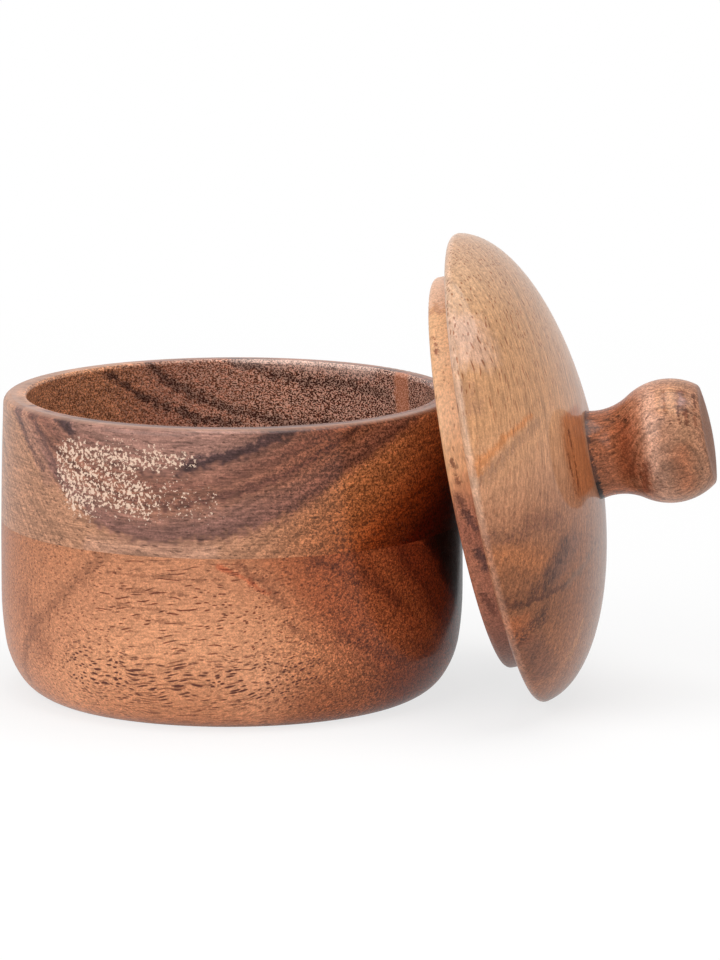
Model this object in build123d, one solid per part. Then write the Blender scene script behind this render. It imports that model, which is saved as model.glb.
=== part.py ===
from build123d import *
import os
from math import asin, cos, degrees, radians, sin, sqrt

# Storage canister of turned acacia wood, in millimetres. The jar stands on Z = 0 with its axis on Z.
# The lid is off: it stands on its edge beside the jar and leans on the jar's rim, knob outwards.

# Jar outside, from the foot up. The block and the ring are glued at the seam and turned as one
jar_height = 77.6
jar_radius = 60.2
rim_taper = 1.0
rim_round = 2.2
seam_height = 45.2
rim_radius = jar_radius - rim_taper

# The jar's rounded lower corner: the arcs that it is turned to, from the foot up, and how steep the side is
# where each one starts. The last one ends upright
corner_radii = (11.9, 22.7, 88.0)
corner_angles = (22.6, 55.5, 81.7, 90.0)

# Jar inside, a straight bore with a flat floor. The wall is measured at the rim
wall_thickness = 6.1
mouth_round = 1.0
floor_thickness = 9.0
floor_corner = 6.0
mouth_radius = rim_radius - wall_thickness

# Lid dome, half of a low ellipsoid with a flat seat for the knob. It stands out past the rim
lid_overhang = 2.4
lid_radius = rim_radius + lid_overhang
dome_rise = 26.3
lid_edge_round = 2.0
knob_seat_radius = 13.8

# Lid insert, the disc that drops into the mouth
insert_clearance = 1.9
insert_depth = 6.35
insert_round = 1.3

# Knob, measured up its own length from the seat. It is glued a little off the lid's centre
knob_length = 30.9
neck_radius = 11.1
neck_height = 3.6
neck_curve = 14.0
knob_radius = 16.0
knob_widest_height = 20.0
knob_end_crown = 1.2
knob_end_round = 1.6
knob_off_centre = 1.2

# Dowel that holds the knob, glued into blind holes
dowel_radius = 5.0
dowel_depth_in_lid = 14.0
dowel_depth_in_knob = 16.0
dowel_chamfer = 0.8
dowel_clearance = 0.1
glue_pocket = 0.5

# How the lid leans: its tilt, its heading seen from above, its step to the side of the line through the
# jar's axis, and the air between the insert's face and the jar's rim
lean_angle = 11.8
lean_heading = -6.2
lean_side_step = -5.6
lean_clearance = 0.3


def turned(*outline):
    """A solid turned on the Z axis from a closed outline, with x as radius and y as height."""
    return revolve(Plane.XZ * make_face(outline), Axis.Z)


def corner_arcs():
    """The jar's rounded lower corner, from the edge of the foot up, ending upright at the jar's radius."""
    slopes = [radians(angle) for angle in corner_angles]
    steps = list(zip(corner_radii, slopes, slopes[1:]))
    reach = sum(radius * (sin(top) - sin(start)) for radius, start, top in steps)
    arcs = []
    point = (jar_radius - reach, 0)
    for radius, start, top in steps:
        arcs.append(JernArc(point, (cos(start), sin(start)), radius, degrees(top - start)))
        point = arcs[-1] @ 1
    return arcs


def make_jar():
    """The whole jar as it comes off the lathe."""
    corner = corner_arcs()
    belly = corner[-1] @ 1
    foot_edge = corner[0] @ 0
    rim_centre = (rim_radius - rim_round, jar_height - rim_round)
    mouth_centre = (mouth_radius + mouth_round, jar_height - mouth_round)
    floor_centre = (mouth_radius - floor_corner, floor_thickness + floor_corner)
    shoulder = (rim_radius, rim_centre[1])
    return turned(
        Line((0, 0), foot_edge),
        *corner,
        TangentArc(belly, shoulder, tangent=(0, 1)),
        CenterArc(rim_centre, rim_round, 0, 90),
        Line((rim_centre[0], jar_height), (mouth_centre[0], jar_height)),
        CenterArc(mouth_centre, mouth_round, 90, 90),
        Line((mouth_radius, mouth_centre[1]), (mouth_radius, floor_centre[1])),
        CenterArc(floor_centre, floor_corner, 0, -90),
        Line((floor_centre[0], floor_thickness), (0, floor_thickness)),
        Line((0, floor_thickness), (0, 0)),
    )


def make_dome(seat_height):
    """The dome with its underside on Z = 0, its edge eased and its dowel hole bored from the seat."""
    dome = turned(
        Line((0, 0), (lid_radius, 0)),
        EllipticalCenterArc((0, 0), lid_radius, dome_rise, arc_size=90),
        Line((0, dome_rise), (0, 0)),
    )
    dome = split(dome, Plane.XY.offset(seat_height), keep=Keep.BOTTOM)
    underside = dome.faces().sort_by(Axis.Z)[0]
    dome = fillet(underside.edges(), lid_edge_round)
    return dome - dowel_hole(dowel_depth_in_lid).moved(Pos(knob_off_centre, 0, seat_height))


def make_insert():
    """The locating disc, glued under the dome."""
    radius = mouth_radius - insert_clearance
    round_centre = (radius - insert_round, insert_round - insert_depth)
    return turned(
        Line((0, 0), (0, -insert_depth)),
        Line((0, -insert_depth), (round_centre[0], -insert_depth)),
        CenterArc(round_centre, insert_round, -90, 90),
        Line((radius, round_centre[1]), (radius, 0)),
        Line((radius, 0), (0, 0)),
    )


def make_knob():
    """The knob with its base on Z = 0: a hollow waist and a round head, as tangent arcs, and a domed end."""
    swell = knob_radius - neck_radius
    climb = knob_widest_height - neck_height
    both_curves = (swell**2 + climb**2) / (2 * swell)
    head_curve = both_curves - neck_curve
    end_rise = knob_length - knob_end_crown - knob_widest_height
    base_angle = degrees(asin(neck_height / neck_curve))
    join_angle = degrees(asin(climb / both_curves))
    end_angle = degrees(asin(end_rise / head_curve))
    waist_centre = (neck_radius + neck_curve, neck_height)
    head_centre = (knob_radius - head_curve, knob_widest_height)
    waist = CenterArc(waist_centre, neck_curve, 180 + base_angle, -base_angle - join_angle)
    head = CenterArc(head_centre, head_curve, -join_angle, join_angle + end_angle)
    top = (0, knob_length)
    end = TangentArc(top, head @ 1, tangent=(1, 0))
    knob = turned(Line((0, 0), waist @ 0), waist, head, end, Line(top, (0, 0)))
    round_edges = knob.edges().filter_by(lambda edge: edge.is_closed).sort_by(Axis.Z)
    knob = fillet(round_edges[-1], knob_end_round)
    return knob - dowel_hole(dowel_depth_in_knob).rotate(Axis.X, 180)


def dowel_hole(depth):
    """The blind hole for one end of the dowel, bored down from Z = 0, with a pocket for spare glue."""
    alignment = (Align.CENTER, Align.CENTER, Align.MAX)
    return Cylinder(dowel_radius + dowel_clearance, depth + glue_pocket, align=alignment)


def make_dowel():
    """The dowel, with the knob's seat at Z = 0 and both ends chamfered."""
    length = dowel_depth_in_lid + dowel_depth_in_knob
    dowel = Cylinder(dowel_radius, length, align=(Align.CENTER, Align.CENTER, Align.MIN))
    dowel = chamfer(dowel.edges().filter_by(GeomType.CIRCLE), dowel_chamfer)
    return dowel.moved(Pos(0, 0, -dowel_depth_in_lid))


def leaning_place(dome):
    """Where the lid leans, for a lid made on Z = 0: its edge on the table, its face by the jar's rim."""
    lean = radians(lean_angle)
    tilt = Rot(0, 0, lean_heading) * Rot(0, 90 - lean_angle, 0)
    centre_height = -dome.moved(tilt).bounding_box().min.Z
    rim_reach = (rim_radius - rim_round) * cos(lean) + (jar_height - rim_round) * sin(lean)
    face_reach = rim_reach + rim_round + lean_clearance
    centre_reach = (face_reach + insert_depth - centre_height * sin(lean)) / cos(lean)
    step = Rot(0, 0, lean_heading) * Pos(centre_reach, lean_side_step, centre_height)
    return Pos(*step.position) * tilt


jar = make_jar()
seam = Plane.XY.offset(seam_height)
seat_height = dome_rise * sqrt(1 - (knob_seat_radius / lid_radius) ** 2)
dome = make_dome(seat_height)
lid_place = leaning_place(dome)
knob_place = lid_place * Pos(knob_off_centre, 0, seat_height)

parts = {
    "lower_block": split(jar, seam, keep=Keep.BOTTOM),
    "upper_ring": split(jar, seam, keep=Keep.TOP),
    "lid_dome": dome.moved(lid_place),
    "lid_insert": make_insert().moved(lid_place),
    "knob": make_knob().moved(knob_place),
    "knob_dowel": make_dowel().moved(knob_place),
}

os.makedirs("parts", exist_ok=True)
for name, part in parts.items():
    part.label = name
    export_step(part, f"parts/{name}.step")
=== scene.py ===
from math import cos, pi, radians, sin

import bpy
from mathutils import Euler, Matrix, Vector


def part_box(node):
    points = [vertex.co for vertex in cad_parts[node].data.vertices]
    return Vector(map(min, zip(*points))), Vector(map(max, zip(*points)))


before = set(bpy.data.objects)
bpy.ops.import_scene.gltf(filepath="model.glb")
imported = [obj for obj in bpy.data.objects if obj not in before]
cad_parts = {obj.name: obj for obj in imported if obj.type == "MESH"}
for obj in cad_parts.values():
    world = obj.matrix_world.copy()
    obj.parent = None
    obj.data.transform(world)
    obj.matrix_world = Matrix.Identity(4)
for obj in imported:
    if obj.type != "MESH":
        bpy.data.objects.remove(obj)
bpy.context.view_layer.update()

# Lower block. The jar's floor and lower wall, turned from one thick block of light orange acacia.
# Its growth rings arch over the front, and open vessels show there as long dark dashes.
# It is glued under the ring, turned with it as one, and lacquered.

# The jar's sizes in millimetres: the radius of its side and of its bore, and the top of its floor
jar_radius = 60.0
bore_radius = 53.0
floor_height = 9.0
mm_per_metre = 1000


def srgb(red, green, blue):
    """A colour as it is seen on a screen, from 0 to 255, as the linear colour that shaders take."""
    seen = [channel / 255 for channel in (red, green, blue)]
    return [c / 12.92 if c <= 0.04045 else ((c + 0.055) / 1.055) ** 2.4 for c in seen] + [1]


class Graph:
    """The nodes of a material or of a node group, added and wired in one call each."""

    def __init__(self, tree):
        self.tree = tree

    def feed(self, socket, value):
        """Gives a socket a value, or a link to where its value comes from."""
        if isinstance(value, bpy.types.NodeSocket):
            self.tree.links.new(value, socket)
        else:
            socket.default_value = value

    def add(self, kind, inputs=None, **settings):
        """Adds a shader node, with its settings, and its inputs by name or number."""
        made = self.tree.nodes.new("ShaderNode" + kind)
        for name, value in settings.items():
            setattr(made, name, value)
        for name, value in (inputs or {}).items():
            self.feed(made.inputs[name], value)
        return made

    def calc(self, operation, *values):
        """One step of arithmetic."""
        return self.add("Math", dict(enumerate(values)), operation=operation).outputs[0]

    def both(self, one, other):
        """The mask of where two masks meet."""
        return self.calc("MULTIPLY", one, other)

    def vector(self, operation, *values, output=0):
        """One step of arithmetic on places."""
        return self.add("VectorMath", dict(enumerate(values)), operation=operation).outputs[output]

    def dot(self, one, other):
        """How far one place reaches along another."""
        return self.vector("DOT_PRODUCT", one, other, output="Value")

    def length(self, place):
        """How far a place is from the origin."""
        return self.vector("LENGTH", place, output="Value")

    def place_at(self, *distances):
        """A place from its distances along the axes."""
        return self.add("CombineXYZ", dict(enumerate(distances))).outputs[0]

    def before_turn(self, place, turn):
        """Where a place was before a turn about the origin."""
        inputs = {"Vector": place, "Rotation": turn}
        return self.add("VectorRotate", inputs, rotation_type="EULER_XYZ", invert=True).outputs[0]

    def step(self, value, low, high, start=0.0, end=1.0):
        """Goes smoothly from start to end while the value goes from low to high."""
        inputs = dict(enumerate((value, low, high, start, end)))
        return self.add("MapRange", inputs, interpolation_type="SMOOTHSTEP").outputs[0]

    def noise(self, place, scale, detail, roughness, distortion=0.0):
        """Cloudy noise from 0 to 1, at a scale in lumps per millimetre."""
        inputs = {
            "Vector": place,
            "Scale": scale,
            "Detail": detail,
            "Roughness": roughness,
            "Distortion": distortion,
        }
        return self.add("TexNoise", inputs).outputs[0]

    def mix(self, share, under, over, blend="MIX"):
        """Lays one colour over another. The colour sockets of a mix go by number only."""
        made = self.add("Mix", data_type="RGBA", blend_type=blend)
        for socket, value in ((0, share), (6, under), (7, over)):
            self.feed(made.inputs[socket], value)
        return made.outputs[2]

    def tint(self, colour, tone, share=1.0):
        """Stains a colour with a tone, by a share."""
        return self.mix(share, colour, tone, "MULTIPLY")

    def ramp(self, value, stops):
        """Colours at distances in millimetres, blended in between."""
        low, high = stops[0][0], stops[-1][0]
        share = self.add("MapRange", {0: value, 1: low, 2: high}).outputs[0]
        made = self.add("ValToRGB", {0: share})
        marks = made.color_ramp.elements
        while len(marks) < len(stops):
            marks.new(0.5)
        for mark, (distance, colour) in zip(marks, stops):
            mark.position = (distance - low) / (high - low)
            mark.color = colour
        return made.outputs[0]

    def group(self, group, **inputs):
        """Places a node group, with its own values, and gives its outputs."""
        made = self.add("Group", node_tree=group)
        for name, value in inputs.items():
            self.feed(made.inputs[name.replace("_", " ")], value)
        return made.outputs


def new_group(name, inputs, outputs):
    """An empty node group with named sockets, and its graph, its inputs and its output node."""
    tree = bpy.data.node_groups.new(name, "ShaderNodeTree")
    for socket, kind in inputs.items():
        tree.interface.new_socket(socket, in_out="INPUT", socket_type="NodeSocket" + kind)
    for socket, kind in outputs.items():
        tree.interface.new_socket(socket, in_out="OUTPUT", socket_type="NodeSocket" + kind)
    start = tree.nodes.new("NodeGroupInput").outputs
    end = tree.nodes.new("NodeGroupOutput").inputs
    return tree, Graph(tree), start, end


# Where a point lies in the tree that the piece was cut from: along the trunk, and out from the pith
tree_place, graph, start, end = new_group(
    "tree place",
    {"Place": "Vector", "Pith": "Vector", "Trunk": "Vector", "Sway": "Float", "Sway size": "Float"},
    {"Grain": "Vector", "Ring": "Float"},
)
grain = graph.before_turn(graph.vector("SUBTRACT", start["Place"], start["Pith"]), start["Trunk"])
distance = graph.length(graph.vector("MULTIPLY", grain, (0, 1, 1)))
slow = graph.vector("MULTIPLY", grain, (0.5, 1, 1))
wander = graph.noise(slow, graph.calc("DIVIDE", 1.0, start["Sway size"]), detail=4.0, roughness=0.6)
sway = graph.calc("MULTIPLY", graph.calc("SUBTRACT", wander, 0.5), start["Sway"])
graph.feed(end["Grain"], grain)
graph.feed(end["Ring"], graph.calc("ADD", distance, sway))

# Vessels cut open: dashes where the cut runs along the trunk, and dots where it runs across.
# Each cell of the wood may hold one, and the share says how many do
open_vessels, graph, start, end = new_group(
    "open vessels",
    {"Grain": "Vector", "Length": "Float", "Spacing": "Float", "Width": "Float", "Share": "Float"},
    {"Vessel": "Float"},
)
cells_along = graph.calc("DIVIDE", 1.0, start["Length"])
cells_across = graph.calc("DIVIDE", 1.0, start["Spacing"])
bent = graph.add("TexNoise", {"Vector": start["Grain"], "Scale": 0.12, "Detail": 1.0}).outputs[1]
bend = graph.vector("MULTIPLY", graph.vector("SUBTRACT", bent, (0.5, 0.5, 0.5)), (0, 3.0, 3.0))
cell_scale = graph.place_at(cells_along, cells_across, cells_across)
cells = graph.vector("MULTIPLY", graph.vector("ADD", start["Grain"], bend), cell_scale)
cell = graph.add("TexVoronoi", {"Vector": cells, "Scale": 1.0})
half_width = graph.calc("MULTIPLY", graph.calc("MULTIPLY", start["Width"], 0.5), cells_across)
core = graph.calc("MULTIPLY", half_width, 0.55)
hole = graph.step(cell.outputs["Distance"], core, half_width, 1.0, 0.0)
lot = graph.add("SeparateColor", {0: cell.outputs["Color"]}).outputs[0]
held = graph.calc("LESS_THAN", lot, start["Share"])
graph.feed(end["Vessel"], graph.both(hole, held))

# Fine figure: threads along the rings and the trunk, short fibres, an even wavy pattern where the
# fibres ripple, a grit of small pores, and the slow raggedness that frays the edges of all marks
fine_figure, graph, start, end = new_group(
    "fine figure",
    {"Grain": "Vector", "Ring": "Float", "Ripple size": "Float"},
    {"Threads": "Float", "Fibres": "Float", "Ripple": "Float", "Grit": "Float", "Fray": "Float"},
)
along = graph.add("SeparateXYZ", {0: start["Grain"]}).outputs[0]
threads = graph.place_at(graph.calc("MULTIPLY", along, 0.04), start["Ring"])
threads = graph.vector("ADD", threads, graph.vector("MULTIPLY", start["Grain"], (0, 0.06, 0.06)))
graph.feed(end["Threads"], graph.noise(threads, 1.3, detail=4.0, roughness=0.65))
fibres = graph.vector("MULTIPLY", start["Grain"], (0.16, 1, 1))
graph.feed(end["Fibres"], graph.noise(fibres, 1.7, detail=3.0, roughness=0.7))
ripple = graph.vector("MULTIPLY", start["Grain"], (0.7, 1, 1))
ripple_scale = graph.calc("DIVIDE", 1.0, start["Ripple size"])
ripple = graph.noise(ripple, ripple_scale, detail=1.0, roughness=0.5, distortion=0.9)
graph.feed(end["Ripple"], graph.step(ripple, 0.41, 0.56, 0.36, 0.64))
graph.feed(end["Grit"], graph.noise(start["Grain"], 2.0, detail=3.0, roughness=0.72))
slow = graph.noise(start["Grain"], 0.5, detail=4.0, roughness=0.65)
graph.feed(end["Fray"], graph.calc("SUBTRACT", slow, 0.5))

# A ragged mark from one spot to another on a piece's flat or rolled out face
ragged_mark, graph, start, end = new_group(
    "ragged mark",
    {
        "Spot": "Vector",
        "From": "Vector",
        "To": "Vector",
        "Reach": "Float",
        "Soft": "Float",
        "Fray": "Float",
    },
    {"Mark": "Float"},
)
offset = graph.vector("SUBTRACT", start["Spot"], start["From"])
run = graph.vector("SUBTRACT", start["To"], start["From"])
share = graph.calc("DIVIDE", graph.dot(offset, run), graph.dot(run, run))
share = graph.add("Clamp", {0: share}).outputs[0]
nearest = graph.add("VectorMath", {0: run, "Scale": share}, operation="SCALE").outputs[0]
gap = graph.calc("ADD", graph.length(graph.vector("SUBTRACT", offset, nearest)), start["Fray"])
core = graph.calc("MULTIPLY", start["Reach"], graph.calc("SUBTRACT", 1.0, start["Soft"]))
graph.feed(end["Mark"], graph.step(gap, core, start["Reach"], 1.0, 0.0))


class Wood(Graph):
    """The material of one piece of wood, from its place in the tree out to its lacquer.

    Its places are in millimetres, in the piece's own turned frame: from the origin, after the turn.
    """

    def __init__(self, name, pith, trunk, sway=3.0, ripple_size=0.7, origin=(0, 0, 0), turn=(0, 0, 0)):
        self.material = bpy.data.materials.new(name)
        self.material.use_nodes = True
        super().__init__(self.material.node_tree)
        self.shader = self.tree.nodes["Principled BSDF"]
        metres = self.add("TexCoord").outputs["Object"]
        world = self.vector("MULTIPLY", metres, (mm_per_metre,) * 3)
        self.place = self.before_turn(self.vector("SUBTRACT", world, origin), turn)
        self.parts = self.add("SeparateXYZ", {0: self.place}).outputs
        self.grain, self.ring = self.in_tree(pith, trunk, sway)
        figure = self.group(fine_figure, Grain=self.grain, Ring=self.ring, Ripple_size=ripple_size)
        self.threads, self.fibres, self.ripple, self.grit, self.fray = figure

    def in_tree(self, pith, trunk, sway, sway_size=22.0):
        """The grain's own place and the ring distance, for a pith and a trunk direction in degrees."""
        turn = [radians(angle) for angle in trunk]
        return self.group(
            tree_place, Place=self.place, Pith=pith, Trunk=turn, Sway=sway, Sway_size=sway_size
        )

    def lay_flat(self, right, up):
        """From now on, marks are placed on a flat face, in millimetres to the right and up."""
        self.spot = self.place_at(right, up)

    def unroll(self, radius, front=(0, -1)):
        """From now on, marks are placed on the round side, in millimetres round from its front and up."""
        front_x, front_y = front
        ahead = self.dot(self.place, (front_x, front_y, 0))
        aside = self.dot(self.place, (-front_y, front_x, 0))
        angle = self.calc("ARCTAN2", aside, ahead)
        self.lay_flat(self.calc("MULTIPLY", angle, radius), self.parts[2])

    def frayed(self, distance, fray):
        """A distance made ragged, by a fray in millimetres."""
        return self.calc("ADD", distance, self.calc("MULTIPLY", self.fray, fray))

    def shade(self, colour, mask, strength):
        """Darkens and lightens a colour with a mask that swings about a half."""
        swing = 0.14
        inputs = dict(enumerate((mask, 0.5 - swing, 0.5 + swing, 1 - strength, 1 + strength)))
        value = self.add("MapRange", inputs).outputs[0]
        grey = self.add("CombineColor", {0: value, 1: value, 2: value}).outputs[0]
        return self.tint(colour, grey)

    def vessels(self, length, spacing, width, share):
        """Open vessels of one size, in millimetres."""
        return self.group(
            open_vessels, Grain=self.grain, Length=length, Spacing=spacing, Width=width, Share=share
        )[0]

    def mark(self, points, reach, soft, fray):
        """The mask of a ragged mark along points, with a soft share of its reach and a fray."""
        fray = self.calc("MULTIPLY", self.fray, fray)
        whole = 0.0
        for begin, finish in zip(points, points[1:]):
            piece = self.group(
                ragged_mark,
                Spot=self.spot,
                From=(*begin, 0),
                To=(*finish, 0),
                Reach=reach,
                Soft=soft,
                Fray=fray,
            )[0]
            whole = self.calc("MAXIMUM", whole, piece)
        return whole

    def paint(self, colour, over, share, mask):
        """Lays another colour over a masked part."""
        return self.mix(self.calc("MULTIPLY", mask, share), colour, over)

    def roughness(self, low, high):
        """A roughness that goes from low to high with the fibres."""
        return self.step(self.fibres, 0.3, 0.7, low, high)

    def relief(self, cut):
        """The height of the surface: a faint ripple, and the cut vessels open in it."""
        return self.calc("SUBTRACT", self.calc("MULTIPLY", self.ripple, 0.3), cut)

    def lacquer(self, colour, rough, relief, depth=0.00008, coat=0.35, coat_roughness=0.2):
        """Puts the colour, and the relief with its depth in metres, under clear lacquer."""
        bump = self.add("Bump", {"Strength": 1.0, "Distance": depth, "Height": relief})
        inputs = self.shader.inputs
        self.feed(inputs["Base Color"], colour)
        self.feed(inputs["Roughness"], rough)
        self.feed(inputs["Normal"], bump.outputs[0])
        inputs["Specular IOR Level"].default_value = 0.06
        self.feed(inputs["Coat Weight"], coat)
        inputs["Coat Roughness"].default_value = coat_roughness
        inputs["IOR"].default_value = 1.45
        return self.material


def dress(node, material):
    """Gives a piece of the model its finish."""
    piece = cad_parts[node]
    piece.data.materials.clear()
    piece.data.materials.append(material)


def on_jar(*spots):
    """Spots on the jar's rolled out side, from angles off the front in degrees and heights."""
    return [(radians(angle) * jar_radius, height) for angle, height in spots]


def from_axis(wood):
    """How far a point is from the jar's axis."""
    return wood.length(wood.place_at(wood.parts[0], wood.parts[1]))


def in_bore(wood):
    """The mask of the jar's bore, fading out just under the surface of its wall."""
    return wood.step(from_axis(wood), bore_radius + 0.6, bore_radius + 1.6, 1.0, 0.0)


block = Wood("block_acacia", pith=(20.5, 78.1, 115), trunk=(0, -4.3, -14.7), sway=4.0, ripple_size=0.62)
block.unroll(jar_radius)
across, back, up = block.parts

# The growth rings by their distance from the pith, darker and redder on the right side of the jar
rings = block.frayed(block.ring, 5.0)
right_side = block.ramp(rings, [
    (62, srgb(150, 84, 52)),
    (74, srgb(168, 98, 62)),
    (82, srgb(112, 54, 32)),
    (86, srgb(158, 90, 58)),
    (97, srgb(142, 74, 44)),
    (103, srgb(56, 18, 8)),
    (114, srgb(40, 10, 4)),
    (121, srgb(30, 7, 3)),
    (124.4, srgb(70, 22, 10)),
    (126.6, srgb(134, 62, 34)),
    (131, srgb(136, 64, 36)),
    (132.6, srgb(114, 52, 30)),
    (134.6, srgb(144, 73, 42)),
    (139, srgb(160, 88, 52)),
    (141, srgb(145, 76, 44)),
    (146, srgb(163, 92, 57)),
    (154, srgb(171, 99, 63)),
    (162, srgb(210, 143, 102)),
    (170, srgb(216, 151, 112)),
    (180, srgb(186, 120, 82)),
])
left_side = block.ramp(rings, [
    (62, srgb(166, 102, 66)),
    (74, srgb(186, 120, 82)),
    (86, srgb(160, 98, 64)),
    (100, srgb(184, 118, 80)),
    (112, srgb(150, 90, 60)),
    (128, srgb(168, 106, 70)),
    (150, srgb(186, 122, 86)),
    (160, srgb(197, 133, 97)),
    (168, srgb(216, 151, 111)),
    (180, srgb(188, 122, 84)),
])
colour = block.mix(block.step(across, -14, 21.5), left_side, right_side)
plain = colour

# Marks on the front: a brown band and a patch on the left, fine lines under the seam, a red streak,
# and dark smudges to the right
band = block.mark(on_jar((-31, 45), (-38, 38), (-50, 27.5), (-60, 18), (-66, 8)), 3.2, soft=1.0, fray=8)
colour = block.paint(colour, srgb(140, 88, 62), 0.6, band)
patch = block.mark(on_jar((-61, 27), (-53, 18)), 7, soft=0.9, fray=10)
colour = block.paint(colour, srgb(152, 96, 68), 0.55, patch)
for height, begin, finish in ((40.4, -30, -2), (36.4, -26, -9), (32.2, -27, -14), (29.2, -22, -10)):
    line = block.mark(on_jar((begin, height), (finish, height - 0.6)), 0.7, soft=0.9, fray=3)
    colour = block.paint(colour, srgb(128, 76, 52), 0.5, line)
streak = block.mark(on_jar((-2, 43.4), (3, 41.0), (10, 36.2)), 1.2, soft=1.0, fray=3)
colour = block.paint(colour, srgb(186, 84, 48), 0.62, streak)
smudge = block.mark(on_jar((3, 43.5), (8, 40), (13, 34)), 2.6, soft=1.0, fray=7)
colour = block.paint(colour, srgb(128, 72, 48), 0.6, smudge)
for begin, finish, reach, share in (
    ((21, 44), (31, 39.5), 2.2, 0.6),
    ((34, 39), (45, 31.5), 3.6, 0.6),
    ((29, 24), (48, 14.5), 2.2, 0.42),
    ((14, 28), (24, 22), 1.2, 0.5),
):
    smudge = block.mark(on_jar(begin, finish), reach, soft=1.0, fray=8)
    colour = block.paint(colour, srgb(104, 52, 34), share, smudge)
# Painted shade of the leaning lid: the right side is darkened on top of the wood's own darker colour
# there, and more so low on the right
colour = block.tint(colour, srgb(236, 217, 202), block.step(across, 6, 28.8, 0.0, 0.9))
low_right_shade = block.mark(on_jar((22, 6), (60, 6)), 18, soft=1.0, fray=6)
colour = block.tint(colour, srgb(202, 184, 170), low_right_shade)

# Inside the jar, the wood has none of these marks
inside = block.both(in_bore(block), block.step(up, floor_height - 4, floor_height - 0.1))
colour = block.mix(inside, colour, plain)

# Fine figure: threads towards the back, and more grit and ripple to the right
colour = block.mix(block.step(back, -25, 10), colour, block.shade(colour, block.threads, 0.3))
to_right = block.step(across, 4, 37)
colour = block.shade(colour, block.grit, 0.18)
colour = block.mix(to_right, colour, block.shade(colour, block.grit, 0.4))
faint = block.shade(colour, block.ripple, 0.12)
strong = block.shade(colour, block.ripple, 0.36)
colour = block.mix(to_right, faint, strong)
colour = block.shade(colour, block.fibres, 0.22)

# Small vessels all over, darkest in the middle of the front, and large dark ones low on the front
small = block.vessels(length=14.0, spacing=0.75, width=0.5, share=1.0)
middle = block.mark(on_jar((-22, 30), (4, 30)), 22, soft=1.0, fray=12)
seen = block.both(small, block.step(middle, 0.0, 1.0, 0.6, 0.95))
colour = block.tint(colour, srgb(140, 104, 98), seen)
low_front = block.mark(on_jar((-38, 14), (-18, 12), (18, 14)), 11, soft=0.7, fray=12)
low_front = block.both(low_front, block.calc("SUBTRACT", 1.0, inside))
large = block.vessels(length=5.0, spacing=0.78, width=0.66, share=1.0)
large = block.both(large, low_front)
colour = block.paint(colour, srgb(84, 40, 32), 0.95, large)
relief = block.relief(block.calc("MAXIMUM", small, large))
dress("lower_block", block.lacquer(colour, block.roughness(0.42, 0.55), relief))

# Upper ring. The jar's upper wall and mouth, turned from a darker piece of acacia heartwood.
# Its pith lies low in the jar's middle, so that dark rings hang in curves on the front and the back.
# It is glued on the block and lacquered inside and out. A painted highlight of pale flecks lies on its
# front left.

rim_height = 77.6

ring = Wood("ring_acacia", pith=(0, 0, 20.5), trunk=(0, 3.5, -20), ripple_size=0.62)
ring.unroll(jar_radius)
across, back, up = ring.parts
right = ring.step(across, -6, 32.2)

# Plain tan at the left, and at the right golden wood that darkens towards the pith. Rose bands lie
# over both, drawn together about one ring to the right
golden = ring.ramp(ring.ring, [
    (24, srgb(34, 5, 1)),
    (35, srgb(76, 17, 3)),
    (44, srgb(132, 58, 23)),
    (52, srgb(156, 88, 48)),
    (58, srgb(166, 100, 60)),
    (66, srgb(172, 112, 76)),
])
colour = ring.mix(right, srgb(175, 126, 97), golden)
middle_ring = 76.0
drawn = ring.step(across, -14, 24, 1.0, 0.66)
rings = ring.calc("SUBTRACT", ring.frayed(ring.ring, 4.0), middle_ring)
rings = ring.calc("ADD", ring.calc("MULTIPLY", rings, drawn), middle_ring)
bands = ring.ramp(rings, [
    (65.2, srgb(176, 122, 96)),
    (66.6, srgb(122, 84, 74)),
    (67.7, srgb(140, 98, 86)),
    (69.2, srgb(146, 102, 86)),
    (70.0, srgb(152, 104, 84)),
    (70.8, srgb(110, 70, 60)),
    (71.8, srgb(152, 102, 82)),
    (73.2, srgb(128, 84, 70)),
    (74.4, srgb(152, 104, 86)),
    (75.4, srgb(74, 50, 48)),
    (76.5, srgb(88, 62, 60)),
    (77.5, srgb(154, 112, 98)),
    (88, srgb(162, 120, 108)),
])
bands = ring.tint(bands, srgb(226, 198, 174), right)
colour = ring.mix(ring.step(rings, 64.6, 66.8), colour, bands)

# Marks on the front: a pale strip along the seam, a faded stretch, and at the left a light band
# between two dark lines
for points, reach, soft, fray, tone, share in (
    (((-35, 46.5), (-4, 46.5)), 4.0, 1.0, 4, srgb(194, 146, 122), 0.6),
    (((-39, 73), (-30, 70.4), (-20, 68.8), (-13, 68)), 3.6, 0.7, 5, srgb(150, 105, 90), 0.8),
    (((-66, 80), (-57, 70), (-50, 62)), 3.4, 0.7, 5, srgb(168, 120, 98), 0.8),
    (((-57, 77), (-50, 69), (-45, 62)), 1.4, 0.9, 5, srgb(98, 66, 60), 0.75),
    (((-67, 78), (-60, 70.5), (-52, 64)), 1.2, 0.9, 5, srgb(88, 58, 54), 0.7),
):
    colour = ring.paint(colour, tone, share, ring.mark(on_jar(*points), reach, soft, fray))


def in_jar(*spots):
    """Spots on the jar's rolled out inner wall, from angles off the back in degrees and heights."""
    return [(radians(angle) * bore_radius, height) for angle, height in spots]


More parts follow.
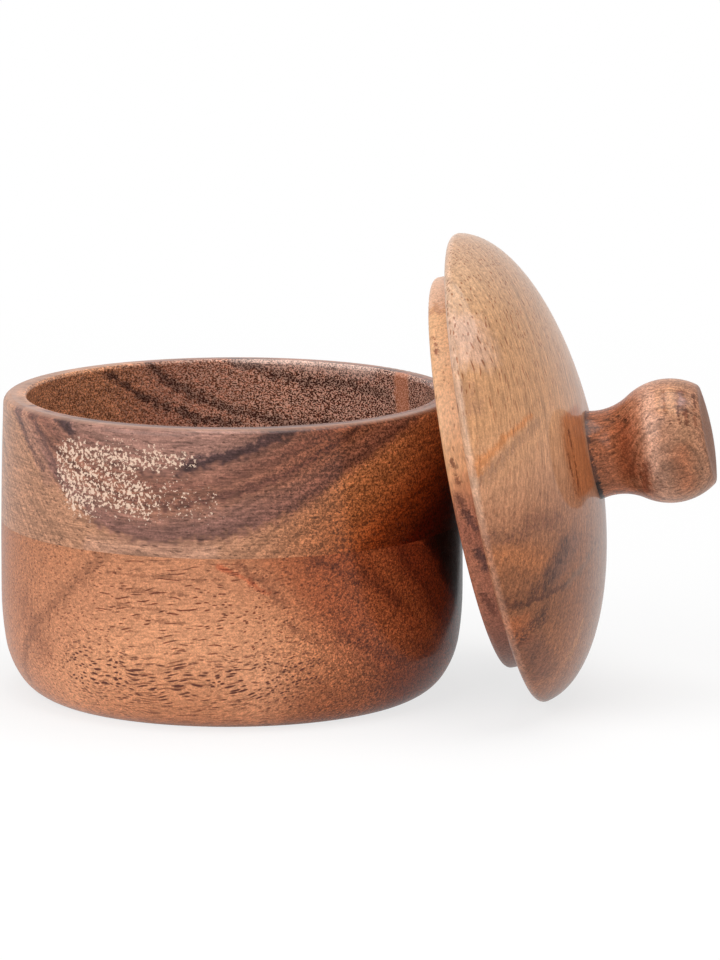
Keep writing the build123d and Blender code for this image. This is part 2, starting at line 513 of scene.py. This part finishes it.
# The inner wall: tan at the left and brown at the right, with three dark bands that fall to the right
inside = in_bore(ring)
ring.unroll(bore_radius, front=(0, 1))
inner = ring.mix(ring.step(across, -39, -17.7), srgb(198, 136, 96), srgb(168, 111, 87))
inner = ring.paint(inner, srgb(118, 70, 58), 0.75, ring.step(across, 8, 34))
top_zone = ring.mark(in_jar((-42, 78), (-2, 79)), 5, soft=0.9, fray=5)
inner = ring.paint(inner, srgb(220, 186, 172), 0.9, top_zone)
inner_bands = 0.0
for points, reach in (
    (((-50, 71), (-35, 72), (-20, 72), (-10, 74), (0, 77)), 1.9),
    (((-30, 61), (-15, 60.5), (0, 63.5), (10, 67), (20, 72), (26, 77)), 2.1),
    (((0, 60.5), (10, 61), (20, 65), (30, 69.5), (40, 76)), 1.7),
):
    band = ring.mark(in_jar(*points), reach, soft=0.9, fray=7)
    inner_bands = ring.calc("MAXIMUM", inner_bands, band)
inner = ring.paint(inner, srgb(66, 40, 34), 0.85, inner_bands)
colour = ring.mix(inside, colour, inner)

# Fine figure: lines from the lathe all round, and ripple inside and to the right
lathe_lines = ring.vector("MULTIPLY", ring.place, (0.07, 0.07, 1))
lathe_lines = ring.noise(lathe_lines, 1.9, detail=3.0, roughness=0.65)
colour = ring.shade(colour, lathe_lines, 0.26)
colour = ring.shade(colour, ring.threads, 0.24)
colour = ring.shade(colour, ring.grit, 0.22)
rippled = ring.calc("MAXIMUM", inside, right)
colour = ring.mix(rippled, colour, ring.shade(colour, ring.ripple, 0.46))
colour = ring.shade(colour, ring.fibres, 0.26)
cut = ring.vessels(length=4.0, spacing=0.9, width=0.5, share=0.8)
colour = ring.paint(colour, srgb(62, 34, 26), 0.55, cut)

# Dark specks, and pale specks that are painted glints of light, on the inner wall, stronger to the right,
# and the bands again over them
specks = ring.vector("MULTIPLY", ring.place, (0.7, 0.7, 1))
specks = ring.noise(specks, 3.1, detail=1.0, roughness=0.5)
dark_specks = ring.both(ring.step(specks, 0.42, 0.5, 1.0, 0.0), ring.step(across, -25, 25, 0.5, 0.92))
glint_specks = ring.both(ring.step(specks, 0.5, 0.58), ring.step(across, -39, 10, 0.3, 1.0))
light_patch = ring.mark(in_jar((-56.5, 76.5), (-57.5, 68)), 4.0, soft=0.4, fray=3)
for tone, share, mask in (
    (srgb(52, 28, 24), 1.0, dark_specks),
    (srgb(236, 192, 170), 0.8, glint_specks),
    (srgb(232, 204, 192), 0.3, top_zone),
    (srgb(52, 28, 24), 0.36, inner_bands),
    (srgb(206, 132, 96), 0.6, light_patch),
):
    colour = ring.paint(colour, tone, share, ring.both(inside, mask))

# Painted highlight: pale flecks of a softbox's reflection on the front left, denser in some zones than
# others, with a sharp left edge
ring.unroll(jar_radius)
glint_zone = ring.mark(on_jar((-41, 66), (-37, 60)), 10, soft=0.6, fray=6)
for points, reach, share in (
    (((-41, 70.5), (-26, 69.2), (-17, 69.4)), 4.4, 0.95),
    (((-19, 69.2), (-9, 69.8)), 3.0, 1.0),
    (((-34, 64), (-21, 59)), 8.4, 0.88),
    (((-14, 61), (-5, 58)), 7.0, 0.5),
    (((-30, 73), (-16, 72)), 3.5, 0.45),
):
    zone = ring.mark(on_jar(*points), reach, soft=0.7, fray=6)
    glint_zone = ring.calc("MAXIMUM", glint_zone, ring.calc("MULTIPLY", zone, share))
sharp_edge = ring.step(ring.dot(ring.spot, (1, 0.12, 0)), -41.4, -40.4)
glint_zone = ring.both(glint_zone, sharp_edge)
glint_noise = ring.noise(ring.place, 1.2, detail=3.0, roughness=0.62)
threshold = ring.step(glint_zone, 0.0, 1.0, 0.69, 0.51)
glint_flecks = ring.step(ring.calc("SUBTRACT", glint_noise, threshold), 0.0, 0.03)
radius = from_axis(ring)
outside = ring.step(radius, jar_radius - 2.5, jar_radius - 1.5)
glint_flecks = ring.both(glint_flecks, ring.both(outside, ring.step(glint_zone, 0, 0.1)))
colour = ring.paint(colour, srgb(240, 208, 184), 0.88, glint_flecks)

# The rim is paler on top with a painted highlight, and dark on the near side's edge towards the mouth
rim_top_highlight = ring.step(up, rim_height - 0.7, rim_height - 0.1)
rim_top_highlight = ring.both(rim_top_highlight, ring.step(radius, bore_radius + 2.0, bore_radius + 3.2))
colour = ring.paint(colour, srgb(170, 130, 110), 0.6, rim_top_highlight)
near_side = ring.step(back, -54, -30, 1.0, 0.0)
lip = ring.both(near_side, ring.step(radius, bore_radius + 3.0, bore_radius + 4.0, 1.0, 0.0))
lip = ring.both(lip, ring.step(up, rim_height - 1.2, rim_height - 0.6))
colour = ring.paint(colour, srgb(92, 54, 42), 0.85, lip)
dress("upper_ring", ring.lacquer(colour, ring.roughness(0.4, 0.52), ring.relief(cut)))

# Lid insert. The disc that drops into the jar's mouth, turned from another piece of orange acacia.
# It is glued under the dome, and its edge shows as a strip to the left of the dome's.

# How the lid leans. The places in all its pieces go from the middle of the dome's underside
lean = radians(11.8)
heading = radians(-6.2)
insert_depth = 6.35
lid_turn = (0, pi / 2 - lean, heading)
knob_way = Euler(lid_turn).to_matrix() @ Vector((0, 0, 1))
low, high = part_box("lid_insert")
lid_centre = (low + high) / 2 * mm_per_metre + knob_way * insert_depth / 2

insert = Wood("insert_acacia", pith=(-60, 0, -40), trunk=(0, 0, 0), origin=lid_centre, turn=lid_turn)
down, out = insert.parts[0], insert.parts[2]
insert.lay_flat(down, out)
along = insert.frayed(down, 9.0)
colour = insert.ramp(along, [
    (-52, srgb(216, 172, 142)),
    (-47.4, srgb(214, 168, 138)),
    (-46.2, srgb(186, 132, 96)),
    (-45.2, srgb(220, 170, 128)),
    (-20, srgb(220, 168, 128)),
    (-10, srgb(212, 156, 114)),
    (-5, srgb(196, 132, 94)),
    (0, srgb(168, 106, 78)),
    (6, srgb(150, 90, 68)),
    (16, srgb(166, 104, 78)),
    (30, srgb(156, 98, 76)),
    (38, srgb(138, 88, 70)),
    (52, srgb(150, 110, 94)),
])
for begin, finish, reach, tone in (
    ((-40, -4.9), (-37, -4.8), 0.8, srgb(130, 66, 38)),
    ((-12, -4.7), (-6, -4.0), 0.8, srgb(112, 62, 42)),
    ((-3, -4.6), (1, -3.8), 1.8, srgb(88, 46, 36)),
    ((3, -3.4), (6, -2), 1.6, srgb(84, 48, 42)),
    ((12.5, -2.6), (16, -1.6), 2.6, srgb(66, 38, 38)),
    ((24, -4), (29, -3), 1.6, srgb(104, 56, 40)),
):
    colour = insert.paint(colour, tone, 0.8, insert.mark([begin, finish], reach, soft=0.9, fray=5))
lower = insert.step(along, -6, 2)
colour = insert.shade(colour, insert.fibres, 0.24)
colour = insert.mix(lower, colour, insert.shade(colour, insert.grit, 0.4))
cut = insert.vessels(length=7.0, spacing=1.2, width=0.5, share=0.7)
colour = insert.paint(colour, srgb(150, 92, 58), 0.6, cut)
material = insert.lacquer(colour, insert.roughness(0.42, 0.55), insert.relief(cut))
dress("lid_insert", material)

# Lid dome. A low dome turned from one slab of acacia, pale honey at the top and pinkish brown below.
# Its open vessels run down it as short dashes. It is eased at its edge and lacquered to a gloss.

dome = Wood("dome_acacia", pith=(0, 60, 90), trunk=(0, 0, -25), origin=lid_centre, turn=lid_turn)
down, aside, out = dome.parts
dome.lay_flat(down, aside)

# Zones of colour lie across the dome, by the distance from a far second pith above it
zones = dome.in_tree(pith=(-200, 0, 0), trunk=(0, 0, 90), sway=9.0, sway_size=24.0)[1]
zones = dome.frayed(zones, 8.0)
colour = dome.ramp(zones, [
    (138, srgb(196, 160, 128)),
    (160, srgb(194, 144, 102)),
    (180, srgb(198, 144, 102)),
    (188, srgb(206, 150, 110)),
    (196, srgb(196, 140, 104)),
    (206, srgb(172, 116, 84)),
    (218, srgb(145, 90, 58)),
    (232, srgb(142, 87, 55)),
    (246, srgb(160, 102, 68)),
    (262, srgb(162, 106, 78)),
])
# A painted sheen over part of the dome: a greyish reflection, paler above and darker below
painted_sheen = dome.mix(dome.step(down, -8, 18), srgb(188, 144, 114), srgb(150, 110, 88))
colour = dome.paint(colour, painted_sheen, 0.6, dome.step(aside, -36, -10))

# An orange arc with a brown fringe at the near edge, a whitish spot, and a painted reflection and shade
# of the knob beside it, redder and darker
arc = dome.mark([(-9, -61), (-12.5, -59), (-16, -54), (-18.5, -44)], 1.5, soft=1.0, fray=3)
colour = dome.paint(colour, srgb(206, 132, 80), 0.85, arc)
fringe = dome.mark([(-7, -61), (-10.5, -58), (-13.8, -52), (-16.5, -42)], 2.0, soft=0.9, fray=4)
fringe = dome.both(fringe, dome.step(dome.fibres, 0.38, 0.6))
colour = dome.paint(colour, srgb(150, 110, 86), 0.8, fringe)
whitish = dome.mark([(-44, -42), (-36, -47)], 6, soft=1.0, fray=6)
colour = dome.paint(colour, srgb(206, 166, 146), 0.6, whitish)
knob_reflection_and_shade = dome.mark([(-11, -20), (-5, -24), (4, -22)], 12.5, soft=0.5, fray=5)
knob_reflection_and_shade = dome.both(knob_reflection_and_shade, dome.step(down, -15.2, -13.6))
knob_reflection_and_shade = dome.both(knob_reflection_and_shade, dome.step(down, 6.2, 7.8, 1.0, 0.0))
colour = dome.paint(colour, srgb(172, 98, 54), 0.8, knob_reflection_and_shade)

# Solid marks, and then marks that only colour the strokes of open vessels and fibres
for points, reach, tone, share in (
    ([(-10, -27), (4, -29)], 0.9, srgb(104, 52, 28), 0.8),
    ([(-5, -32), (5, -31.5)], 0.9, srgb(104, 52, 28), 0.8),
    ([(12, -59), (18, -50)], 5.5, srgb(182, 110, 64), 0.55),
    ([(31, -53), (37, -49)], 3.0, srgb(184, 102, 58), 0.6),
    ([(39, -27), (46, -29)], 2.4, srgb(184, 124, 80), 0.6),
    ([(16, -36), (21, -46)], 6.5, srgb(122, 82, 66), 0.7),
    ([(24.5, -58), (26.2, -54.5), (26.4, -48), (25.6, -40)], 1.25, srgb(88, 48, 32), 0.8),
    ([(25.6, -40), (23.4, -28), (20, -18)], 1.8, srgb(116, 84, 66), 0.6),
    ([(38, -48), (48, -36)], 4.6, srgb(98, 62, 52), 0.62),
):
    colour = dome.paint(colour, tone, share, dome.mark(points, reach, soft=1.0, fray=5))
dashes = dome.vessels(length=6.0, spacing=1.2, width=0.95, share=1.0)
strokes = dome.calc("MAXIMUM", dashes, dome.step(dome.fibres, 0.43, 0.57))
for points, reach, tone, share in (
    ([(15.5, -42), (24, -50.5)], 4.4, srgb(70, 40, 32), 0.8),
    ([(31, -48), (35.5, -50)], 3.6, srgb(70, 40, 32), 0.8),
    ([(7, -61), (9.5, -56)], 2.4, srgb(106, 66, 52), 0.75),
    ([(-30, -53.5), (-24.5, -56)], 2.6, srgb(138, 96, 76), 0.5),
    ([(24, -56), (26.3, -47)], 2.2, srgb(96, 54, 36), 0.5),
    ([(6.5, -54), (8.5, -44)], 4.0, srgb(114, 70, 54), 0.7),
):
    mark = dome.mark(points, reach, soft=0.8, fray=6)
    colour = dome.paint(colour, tone, share, dome.both(mark, strokes))
# A painted highlight along the eased edge of the dome's underside, paler above and darker below
edge_highlight = dome.mix(dome.step(down, -8, 10), srgb(222, 184, 158), srgb(178, 130, 106))
colour = dome.paint(colour, edge_highlight, 0.5, dome.step(out, 1.2, 2.6, 1.0, 0.0))

# Fine figure, with ripple on the lower half and the vessels darkest at the top
below = dome.step(zones, 196, 212)
colour = dome.shade(colour, dome.grit, 0.14)
colour = dome.mix(below, colour, dome.shade(colour, dome.ripple, 0.2))
colour = dome.shade(colour, dome.fibres, 0.22)
colour = dome.shade(colour, dome.threads, 0.16)
cut = dome.vessels(length=7.0, spacing=0.9, width=0.55, share=0.9)
seen = dome.both(cut, dome.step(down, -34, -14, 0.9, 0.3))
colour = dome.tint(colour, srgb(186, 152, 130), seen)
material = dome.lacquer(
    colour,
    dome.roughness(0.38, 0.5),
    dome.relief(cut),
    depth=0.00005,
    coat=0.4,
    coat_roughness=0.08,
)
dress("lid_dome", material)

# Knob. A waisted knob turned from a reddish offcut, with a small knot in its head.
# It is glued on the dome's flat seat over a dowel, and its glue line is open and dark there.

# Its mean radius, and how far its base and its end stand out from the dome's underside
knob_radius = 14.0
seat_height = 25.6
knob_end = 56.5

knob = Wood("knob_acacia", pith=(-12, 30, 0), trunk=(0, -90, 0), origin=lid_centre, turn=lid_turn)
knob.unroll(knob_radius)
out = knob.parts[2]
reach_out = knob.frayed(out, 5.0)
# Colour along the knob, with a band of painted highlight round it about 42 mm out
colour = knob.ramp(reach_out, [
    (25, srgb(150, 92, 62)),
    (34, srgb(158, 94, 62)),
    (39, srgb(168, 112, 84)),
    (42, srgb(186, 138, 113)),
    (46, srgb(173, 124, 97)),
    (51, srgb(164, 117, 88)),
    (55, srgb(162, 112, 85)),
])

# Light and dark marks on the near side: a pale belt of painted highlight, the shaded waist, the knot and
# cracks round it
for points, reach, tone, share in (
    ([(-14, 43.4), (-4, 42.4), (5, 41.2)], 3.0, srgb(214, 164, 138), 0.72),
    ([(-9, 35.5), (6, 35)], 4.6, srgb(134, 68, 42), 0.7),
    ([(4, 39.5), (12, 37.5)], 2.0, srgb(120, 54, 32), 0.65),
    ([(-14, 46.9), (-8.5, 46.7)], 0.6, srgb(128, 74, 42), 0.8),
    ([(-15, 48.6), (-8, 48.4)], 2.0, srgb(206, 150, 108), 0.5),
    ([(-15, 45.4), (-9, 45.2)], 1.6, srgb(200, 146, 106), 0.4),
    ([(-14, 51.1), (-9, 51)], 2.3, srgb(110, 58, 38), 0.85),
    ([(-13.2, 51.1), (-9.8, 51)], 1.2, srgb(162, 120, 108), 0.9),
    ([(-9.2, 50.2), (-4.5, 49.8)], 0.5, srgb(98, 50, 32), 0.8),
    ([(-9.2, 52), (-4, 51.6)], 0.5, srgb(98, 50, 32), 0.8),
    ([(-15, 54.2), (-9, 54.4)], 0.7, srgb(84, 44, 30), 0.8),
    ([(-8, 53.8), (-3, 53.6)], 0.6, srgb(120, 66, 42), 0.6),
    ([(-12.5, 34.2), (-9, 36.2)], 0.9, srgb(64, 36, 22), 0.85),
    ([(-13, 31), (-11, 33)], 0.6, srgb(84, 50, 30), 0.7),
    ([(3, 49), (11, 49)], 5.0, srgb(180, 104, 66), 0.6),
):
    colour = knob.paint(colour, tone, share, knob.mark(points, reach, soft=1.0, fray=4))
colour = knob.shade(colour, knob.grit, 0.36)
colour = knob.shade(colour, knob.threads, 0.3)
colour = knob.shade(colour, knob.ripple, 0.18)
end_face = knob.step(out, knob_end - 1.9, knob_end - 0.7)
colour = knob.paint(colour, srgb(112, 70, 48), 0.7, end_face)
neck = knob.step(out, seat_height + 5.4, seat_height + 10.4, 1.0, 0.0)
colour = knob.mix(neck, colour, knob.shade(colour, knob.fibres, 0.35))

# The glue line round the neck, with an open crack on the near side below
glue = knob.step(reach_out, seat_height + 0.3, seat_height + 1.2, 1.0, 0.0)
colour = knob.paint(colour, srgb(74, 50, 44), 0.8, glue)
crack = knob.mark([(9, seat_height), (26, seat_height)], 1.5, soft=0.5, fray=3)
colour = knob.paint(colour, srgb(22, 12, 8), 0.9, crack)
cut = knob.vessels(length=5.0, spacing=1.1, width=0.5, share=0.6)
colour = knob.paint(colour, srgb(84, 46, 32), 0.6, cut)
coat = knob.calc("MULTIPLY", knob.calc("SUBTRACT", 1.0, end_face), 0.35)
material = knob.lacquer(colour, knob.roughness(0.4, 0.52), knob.relief(cut), coat=coat)
dress("knob", material)

# Knob dowel. A plain round dowel of bare beech, with its grain along it.
# It is glued into blind holes in the knob and the dome, out of sight.

dowel = Wood("dowel_beech", pith=(0, 40, 0), trunk=(0, -90, 0), origin=lid_centre, turn=lid_turn)
colour = dowel.ramp(dowel.ring, [(20, srgb(206, 170, 128)), (60, srgb(196, 158, 116))])
colour = dowel.shade(colour, dowel.fibres, 0.1)
material = dowel.lacquer(colour, dowel.roughness(0.6, 0.75), dowel.fibres, depth=0.00003, coat=0.0)
dress("knob_dowel", material)

# Studio. A plain white floor, a white sky, and two soft lights: a key light from the upper left of the
# viewer and one from above. The camera stands where the photograph was taken from.


def meets_white(graph):
    """One for rays that find a plain white studio: from the camera, off gloss or through glass."""
    light_path = graph.add("LightPath").outputs
    seen = graph.calc("MAXIMUM", light_path["Is Camera Ray"], light_path["Is Glossy Ray"])
    return graph.calc("MAXIMUM", seen, light_path["Is Transmission Ray"])


floor_half = 8.0
corners = [(x * floor_half, y * floor_half, 0) for x, y in ((-1, -1), (1, -1), (1, 1), (-1, 1))]
floor_mesh = bpy.data.meshes.new("floor")
floor_mesh.from_pydata(corners, [], [(0, 1, 2, 3)])
floor = bpy.data.objects.new("floor", floor_mesh)
bpy.context.scene.collection.objects.link(floor)
white = bpy.data.materials.new("white_floor")
white.use_nodes = True
paint = Graph(white.node_tree)
shader = white.node_tree.nodes["Principled BSDF"]
shader.inputs["Base Color"].default_value = (0.9, 0.9, 0.9, 1)
shader.inputs["Roughness"].default_value = 0.9
shader.inputs["Specular IOR Level"].default_value = 0.0
glow = paint.add("Emission", {"Color": (1, 1, 1, 1), "Strength": 1.0}).outputs[0]

# Near the jar a quarter of the floor's own shade shows, and further off it is white
away = paint.length(paint.add("TexCoord").outputs["Object"])
share = paint.both(meets_white(paint), paint.step(away, 0.1, 0.7, 0.75, 1.0))
blend = paint.add("MixShader", {0: share, 1: shader.outputs[0], 2: glow})
paint.feed(white.node_tree.nodes["Material Output"].inputs["Surface"], blend.outputs[0])
floor.data.materials.append(white)

world = bpy.data.worlds.new("white_studio")
world.use_nodes = True
bpy.context.scene.world = world
sky = Graph(world.node_tree)
background = world.node_tree.nodes["Background"]
background.inputs["Color"].default_value = (1, 1, 1, 1)
sky_light = 0.4
white_sky = 1.0
strength = sky.add("MapRange", {0: meets_white(sky), 3: sky_light, 4: white_sky}).outputs[0]
sky.feed(background.inputs["Strength"], strength)


def soft_light(name, place, size, power):
    """A square softbox at a place, in metres, that faces the middle of the object."""
    target = Vector((0.03, 0, 0.05))
    lamp = bpy.data.lights.new(name, "AREA")
    lamp.shape = "SQUARE"
    lamp.size = size
    lamp.energy = power
    softbox = bpy.data.objects.new(name, lamp)
    softbox.location = place
    softbox.rotation_euler = (target - Vector(place)).to_track_quat("-Z", "Y").to_euler()
    bpy.context.scene.collection.objects.link(softbox)


soft_light("key_light", (-1.2, -1.2, 1.2), size=1.6, power=18.5)
soft_light("top_light", (0.2, -0.1, 1.6), size=1.2, power=17)

camera_data = bpy.data.cameras.new("camera")
camera_data.lens = 201.6
camera_data.sensor_width = 36
camera_data.clip_start = 0.05
camera_data.clip_end = 60
camera = bpy.data.objects.new("camera", camera_data)
bpy.context.scene.collection.objects.link(camera)
look_at = Vector((0.03336, 0, 0.05433))
look_down = radians(10.352)
camera_distance = 1.4
camera.location = look_at + Vector((0, -cos(look_down), sin(look_down))) * camera_distance
camera.rotation_euler = (pi / 2 - look_down, 0, 0)
bpy.context.scene.camera = camera
bpy.context.scene.view_settings.view_transform = "Standard"
